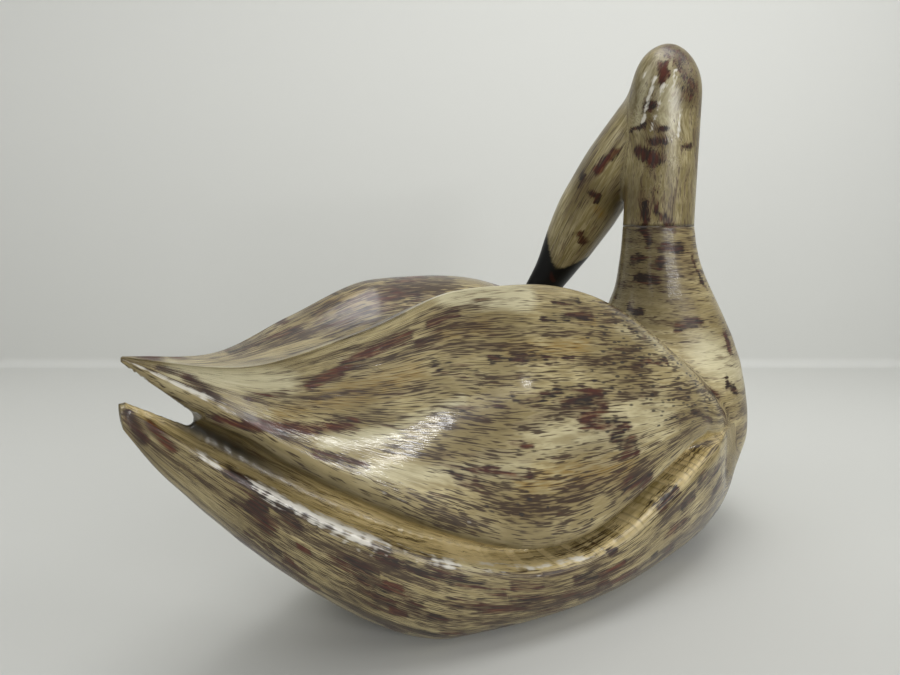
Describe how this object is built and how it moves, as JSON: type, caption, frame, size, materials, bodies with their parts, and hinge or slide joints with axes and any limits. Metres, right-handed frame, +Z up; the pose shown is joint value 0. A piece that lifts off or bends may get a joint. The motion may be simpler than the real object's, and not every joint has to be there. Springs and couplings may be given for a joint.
{
  "type": "swan decoy",
  "caption": "Carved wooden swan at rest with folded wings, a gouged channel under each wing and its bent neck hanging the head at its left side",
  "frame": {"origin": "middle of the flat underside that the swan stands on", "axes": "+X runs from the tail to the breast, +Y to the swan's left, +Z up"},
  "size_m": [0.4304, 0.2029, 0.34],
  "materials": {
    "body_wood": "rubbed cream paint over brown, satin",
    "neck_wood": "rubbed cream paint over brown, black painted bill, satin"
  },
  "bodies": {
    "root": {"body": "body_wood", "neck_and_head": "neck_wood"}
  },
  "joints": []
}
